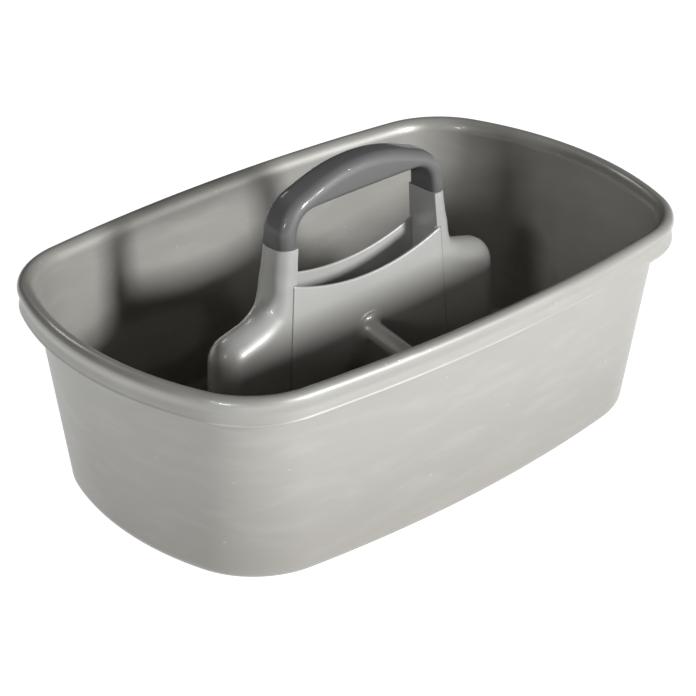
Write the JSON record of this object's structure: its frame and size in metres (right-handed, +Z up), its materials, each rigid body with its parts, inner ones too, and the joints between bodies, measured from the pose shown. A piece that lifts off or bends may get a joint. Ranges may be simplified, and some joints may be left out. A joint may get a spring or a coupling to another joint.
{
  "type": "cleaning caddy",
  "caption": "Open plastic caddy tub with rounded corners and a rolled rim, and a central handle tower that forms a bottle pocket, with a soft arched grip.",
  "frame": {"origin": "bottom centre of the bounding box, on the surface that the caddy stands on", "axes": "+Z up, +X along the tub and the handle, +Y across it towards the back"},
  "size_m": [0.4, 0.251, 0.1864],
  "materials": {
    "silver_plastic": "satin silver-grey, smooth, with faint flow marks",
    "soft_grip": "smooth dark grey, semi-gloss",
    "screw_steel": "plain zinc-bright"
  },
  "bodies": {
    "root": {"tub": "silver_plastic", "handle_tower": "silver_plastic", "front_panel": "silver_plastic", "back_panel": "silver_plastic", "grip": "soft_grip", "screw_left_outer": "screw_steel", "screw_left_inner": "screw_steel", "screw_right_inner": "screw_steel", "screw_right_outer": "screw_steel"}
  },
  "joints": []
}
